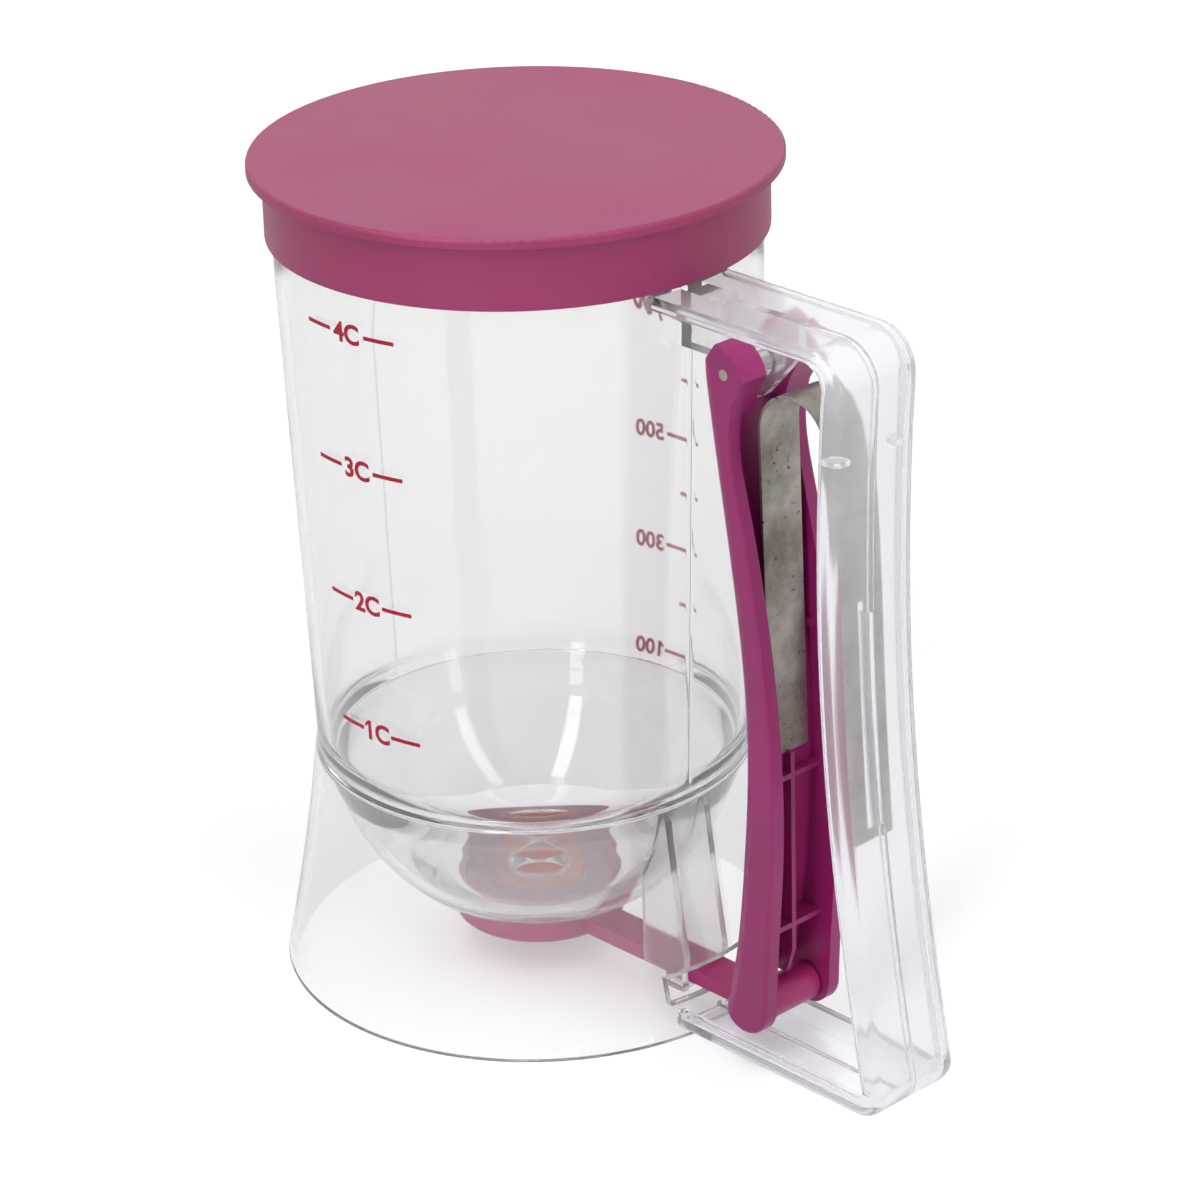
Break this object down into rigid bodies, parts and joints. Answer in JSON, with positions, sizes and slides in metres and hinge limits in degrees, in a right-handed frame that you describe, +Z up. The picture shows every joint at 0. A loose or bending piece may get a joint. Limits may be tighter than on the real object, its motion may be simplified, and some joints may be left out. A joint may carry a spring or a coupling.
{
  "type": "batter_dispenser",
  "caption": "Hand-held pancake batter dispenser: clear tapered measuring cup on a flared skirt, loose magenta lid, channel grip with sprung trigger that slides a valve under the bowl",
  "frame": {"origin": "centre of the ring the skirt stands on, on the table", "axes": "+Z up along the cup's axis, +X from the cup to the grip, +Y across the grip"},
  "size_m": [0.1741, 0.1162, 0.1893],
  "materials": {
    "clear_plastic": "gloss",
    "lid_plastic": "matte",
    "trigger_plastic": "gloss",
    "spring_steel": "satin",
    "seal_silicone": "matte"
  },
  "bodies": {
    "dispenser_body": {"measuring_cup": "clear_plastic", "batter_bowl": "clear_plastic", "base_skirt": "clear_plastic", "valve_guides": "clear_plastic", "grip_handle": "clear_plastic", "hinge_lug": "clear_plastic", "leaf_spring": "spring_steel"},
    "lid_body": {"lid": "lid_plastic"},
    "trigger_body": {"trigger": "trigger_plastic", "pivot_pin": "spring_steel"},
    "valve_body": {"valve_slide": "trigger_plastic", "valve_seal": "seal_silicone"}
  },
  "joints": [
    {"name": "lid_lift", "type": "slide", "parent": "dispenser_body", "child": "lid_body", "axis": [0, 0, 1], "range_m": [0, 0.04]},
    {"name": "trigger_squeeze", "type": "hinge", "parent": "dispenser_body", "child": "trigger_body", "pos_m": [0.0729, 0, 0.1605], "axis": [0, -1, 0], "range_deg": [0, 7.9], "stiffness_Nm_per_rad": 1.6, "springref_deg": -8.59, "deforming": ["leaf_spring"]},
    {"name": "valve_pull", "type": "slide", "parent": "dispenser_body", "child": "valve_body", "axis": [1, 0, 0], "range_m": [0, 0.0202]}
  ],
  "couplings": [
    {"joint": "valve_pull", "follows": "trigger_squeeze", "m_per_rad": 0.1457}
  ]
}
